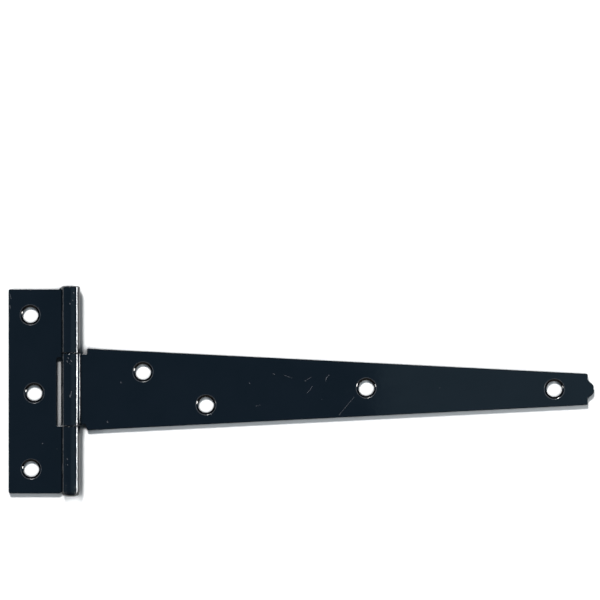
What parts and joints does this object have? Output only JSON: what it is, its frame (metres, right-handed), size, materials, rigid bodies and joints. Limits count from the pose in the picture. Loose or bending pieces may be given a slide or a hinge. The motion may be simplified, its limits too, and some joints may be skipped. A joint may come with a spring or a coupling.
{
  "type": "t hinge",
  "caption": "Black enamelled pressed-steel T hinge: a tall rectangular leaf and a long tapered strap, countersunk for wood screws, joined by rolled knuckles on a peened pin.",
  "frame": {"origin": "on the mounting plane, straight below the pin's axis, on the strap's centreline", "axes": "+X along the strap from the pin to the tip, +Y along the pin, +Z out of the mounting faces towards the side where the barrel stands proud; the hinge is open flat at rest"},
  "size_m": [0.2844, 0.1021, 0.0093],
  "materials": {
    "leaf_enamel": "gloss black enamel over pressed steel sheet",
    "strap_enamel": "gloss black enamel over pressed steel sheet",
    "pin_enamel": "gloss black enamel over a peened steel pin"
  },
  "bodies": {
    "leaf": {"cross_leaf": "leaf_enamel", "pin": "pin_enamel"},
    "strap": {"strap": "strap_enamel"}
  },
  "joints": [
    {"name": "strap_swing", "type": "hinge", "parent": "leaf", "child": "strap", "pos_m": [0, 0, 0.00463], "axis": [0, -1, 0], "range_deg": [0, 180]}
  ]
}
